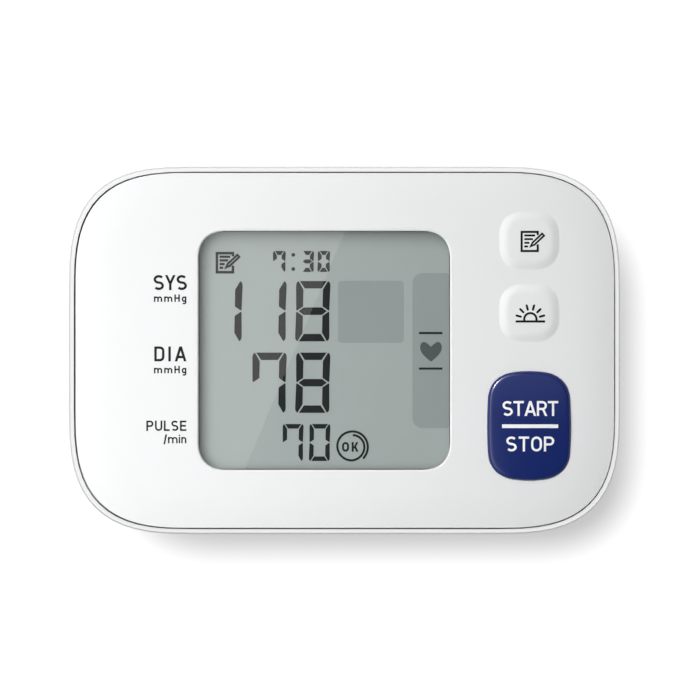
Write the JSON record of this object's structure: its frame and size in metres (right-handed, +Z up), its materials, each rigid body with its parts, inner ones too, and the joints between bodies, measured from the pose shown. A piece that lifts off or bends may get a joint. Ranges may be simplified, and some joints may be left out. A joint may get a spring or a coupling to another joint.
{
  "type": "wrist blood pressure monitor",
  "caption": "Flat white monitor with a display, a large blue key and small white keys, face up on its closed fabric wrist cuff with a hook tape flap.",
  "frame": {"origin": "on the surface that the cuff stands on, under the middle of the monitor", "axes": "+X to the right of the display, +Y towards the top of the display, +Z up, out of the face"},
  "size_m": [0.09, 0.06, 0.0835],
  "materials": {
    "case_white": "satin",
    "key_blue": "gloss",
    "skin_white": "satin",
    "dome_rubber": "matte",
    "clear_lens": "clear gloss",
    "lcd_glass": "matte",
    "dark_plastic": "matte",
    "foam": "matte",
    "connector_rubber": "matte",
    "board_green": "satin",
    "capacitor_sleeve": "satin",
    "screw_steel": "satin",
    "battery_jacket": "gloss",
    "contact_steel": "satin",
    "motor_steel": "satin",
    "pale_plastic": "matte",
    "hose_silicone": "satin",
    "bladder_film": "matte",
    "cuff_cloth": "brushed loop",
    "lining_cloth": "woven",
    "hook_tape": "hook pile"
  },
  "bodies": {
    "monitor": {"air_bladder": "bladder_film", "air_manifold": "pale_plastic", "back_case": "case_white", "battery_1": "battery_jacket", "battery_2": "battery_jacket", "battery_bridge": "contact_steel", "battery_minus_plate": "contact_steel", "battery_plus_plate": "contact_steel", "battery_spring_1": "contact_steel", "battery_spring_2": "contact_steel", "bay_screw_1": "screw_steel", "bay_screw_2": "screw_steel", "bladder_nipple": "pale_plastic", "board_screw_1": "screw_steel", "board_screw_2": "screw_steel", "buzzer": "dark_plastic", "capacitor": "capacitor_sleeve", "case_screw_1": "screw_steel", "case_screw_2": "screw_steel", "controller_chip": "dark_plastic", "cuff_curler": "pale_plastic", "cuff_hose": "hose_silicone", "cuff_inner_cloth": "lining_cloth", "cuff_outer_cloth": "cuff_cloth", "cuff_screw_1": "screw_steel", "cuff_screw_2": "screw_steel", "cuff_screw_3": "screw_steel", "cuff_screw_4": "screw_steel", "display_gasket": "foam", "display_lens": "clear_lens", "front_cover": "case_white", "lcd_connector": "connector_rubber", "lcd_frame": "dark_plastic", "lcd_panel": "lcd_glass", "main_board": "board_green", "memory_dome": "dome_rubber", "memory_membrane": "skin_white", "morning_dome": "dome_rubber", "morning_membrane": "skin_white", "pressure_sensor": "dark_plastic", "pump_cradle": "foam", "pump_head": "dark_plastic", "pump_hose": "hose_silicone", "pump_motor": "motor_steel", "start_dome": "dome_rubber", "valve_body": "motor_steel", "valve_hose": "hose_silicone"},
    "start_button": {"start_button": "key_blue"},
    "memory_button": {"memory_button": "case_white"},
    "morning_button": {"morning_button": "case_white"},
    "battery_cover": {"battery_cover": "case_white"},
    "pump_shaft": {"pump_shaft": "motor_steel"},
    "valve_plunger": {"valve_plunger": "motor_steel"},
    "cuff_flap": {"flap_outer_cloth": "cuff_cloth", "flap_stiffener": "pale_plastic", "flap_inner_cloth": "lining_cloth"},
    "cuff_tab": {"tab_cloth": "cuff_cloth", "hook_tape": "hook_tape"}
  },
  "joints": [
    {"name": "start_press", "type": "slide", "parent": "monitor", "child": "start_button", "axis": [0, 0, -1], "range_m": [0, 0.0008], "stiffness_N_per_m": 600, "deforming": ["start_dome"]},
    {"name": "memory_press", "type": "slide", "parent": "monitor", "child": "memory_button", "axis": [0, 0, -1], "range_m": [0, 0.0005], "stiffness_N_per_m": 600, "deforming": ["memory_dome", "memory_membrane"]},
    {"name": "morning_press", "type": "slide", "parent": "monitor", "child": "morning_button", "axis": [0, 0, -1], "range_m": [0, 0.0005], "stiffness_N_per_m": 600, "deforming": ["morning_dome", "morning_membrane"]},
    {"name": "battery_cover_slide", "type": "slide", "parent": "monitor", "child": "battery_cover", "axis": [-1, 0, 0], "range_m": [0, 0.03]},
    {"name": "cuff_open", "type": "hinge", "parent": "monitor", "child": "cuff_flap", "pos_m": [0.0118, -0.028, 0.045], "axis": [-1, 0, 0], "range_deg": [0, 85]},
    {"name": "tab_peel", "type": "hinge", "parent": "cuff_flap", "child": "cuff_tab", "pos_m": [0.0118, -0.028, 0.024], "axis": [-1, 0, 0], "range_deg": [0, 80]},
    {"name": "pump_spin", "type": "hinge", "parent": "monitor", "child": "pump_shaft", "pos_m": [0, 0.0145, 0.0688], "axis": [1, 0, 0], "continuous": true},
    {"name": "valve_stroke", "type": "slide", "parent": "monitor", "child": "valve_plunger", "axis": [1, 0, 0], "range_m": [0, 0.0008], "stiffness_N_per_m": 300}
  ]
}
